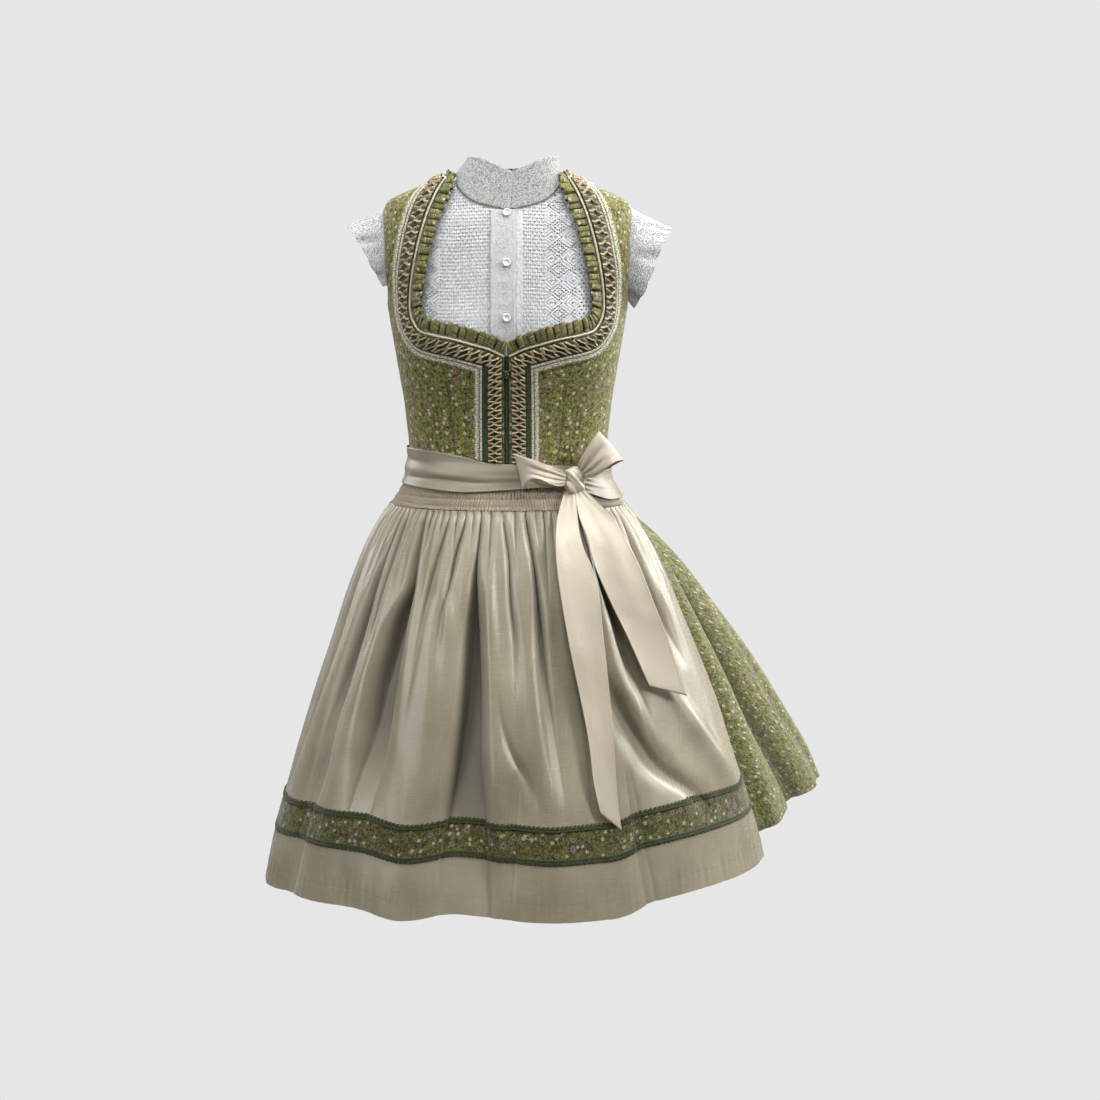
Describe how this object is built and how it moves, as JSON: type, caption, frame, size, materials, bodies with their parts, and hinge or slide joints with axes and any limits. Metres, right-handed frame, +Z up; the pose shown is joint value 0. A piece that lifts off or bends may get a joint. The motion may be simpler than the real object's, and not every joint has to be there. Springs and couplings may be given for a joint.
{
  "type": "dirndl dress",
  "caption": "Dirndl: sleeveless printed bodice and full skirt over a high-necked lace blouse, with a gathered apron tied in a bow at the front.",
  "frame": {"origin": "midway between the shoulder straps, level with the tops of the shoulders", "axes": "+Z up along the worn garment, the front faces -Y, +X is the wearer's left"},
  "size_m": [0.8007, 0.5926, 0.9906],
  "materials": {
    "lace": "matte",
    "trim_lace": "matte",
    "print": "matte",
    "ribbon": "satin",
    "braid": "satin",
    "cord": "satin",
    "apron": "satin",
    "bow": "satin",
    "zip": "satin"
  },
  "bodies": {
    "root": {"blouse_back": "lace", "blouse_button_1": "lace", "blouse_button_2": "lace", "blouse_button_3": "lace", "blouse_collar_left": "lace", "blouse_collar_right": "lace", "blouse_front_left": "lace", "blouse_front_right": "lace", "blouse_placket": "lace", "blouse_sleeve_left": "lace", "blouse_sleeve_right": "lace", "neck_lace_left": "trim_lace", "neck_lace_right": "trim_lace", "bodice_back": "print", "bodice_front_left": "print", "bodice_front_right": "print", "bodice_side_left": "print", "bodice_side_right": "print", "neck_ruffle_left": "print", "neck_ruffle_right": "print", "skirt_back": "print", "skirt_front": "print", "apron_hem_band": "print", "neck_ribbon_left": "ribbon", "neck_ribbon_right": "ribbon", "apron_edging_lower": "ribbon", "apron_edging_upper": "ribbon", "neck_braid_left": "braid", "neck_braid_right": "braid", "neck_piping_back": "cord", "neck_piping_left": "cord", "neck_piping_right": "cord", "apron_band": "apron", "apron_panel": "apron", "sash": "apron", "bow_knot": "bow", "bow_loop_left": "bow", "bow_loop_right": "bow", "bow_tail_long": "bow", "bow_tail_short": "bow", "zip_slider": "zip", "zip_tape": "zip"}
  },
  "joints": []
}
